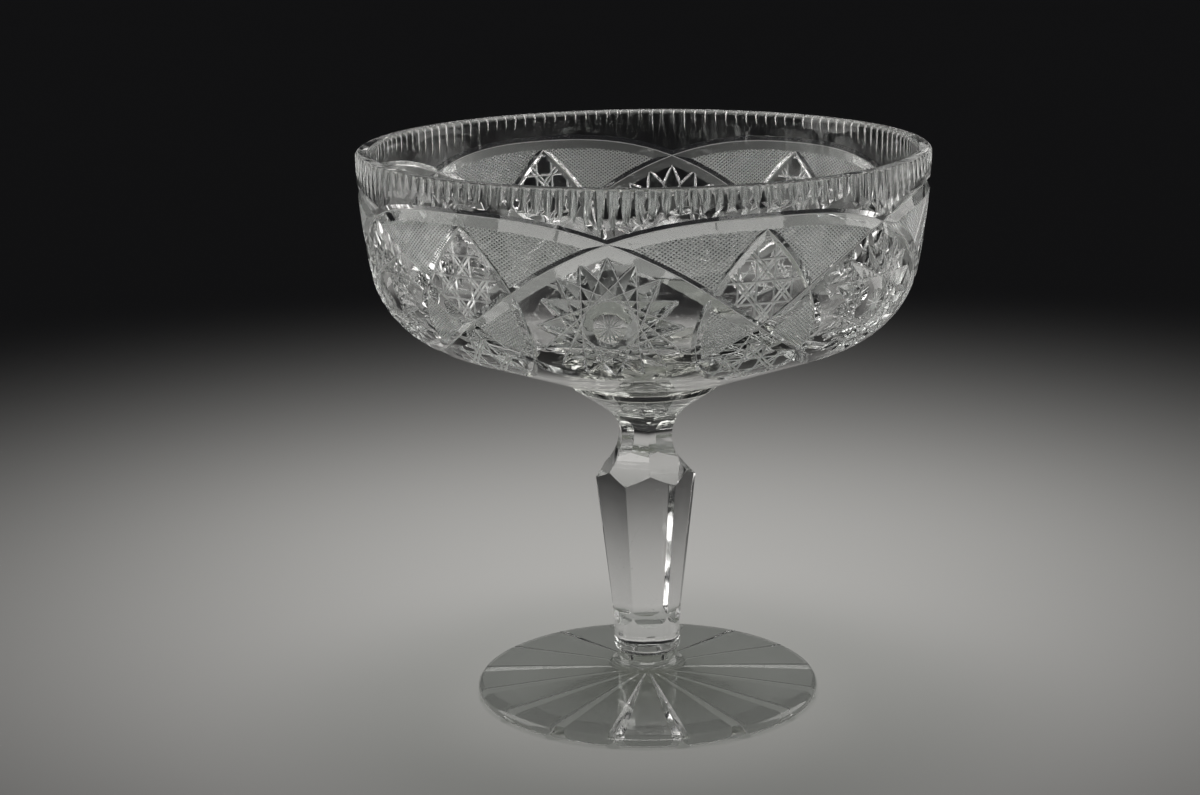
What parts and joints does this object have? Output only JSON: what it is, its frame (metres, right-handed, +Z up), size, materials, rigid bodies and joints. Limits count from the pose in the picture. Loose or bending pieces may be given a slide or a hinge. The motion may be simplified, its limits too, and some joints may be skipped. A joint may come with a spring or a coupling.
{
  "type": "footed fruit bowl",
  "caption": "Deep round bowl of clear cut crystal on a faceted stem and a round rayed foot, for holding fruit on a table.",
  "frame": {"origin": "on the standing surface, under the middle of the foot", "axes": "+Z up along the bowl's axis, -Y towards the viewer of the picture, +X to the viewer's right"},
  "size_m": [0.21, 0.21, 0.21],
  "materials": {
    "crystal_bowl": "polished cut crystal",
    "crystal_stem": "polished cut crystal",
    "crystal_foot": "polished cut crystal",
    "clear_bond": "clear cured adhesive"
  },
  "bodies": {
    "root": {"bowl": "crystal_bowl", "bowl_cement": "clear_bond", "stem": "crystal_stem", "foot_cement": "clear_bond", "foot": "crystal_foot"}
  },
  "joints": []
}
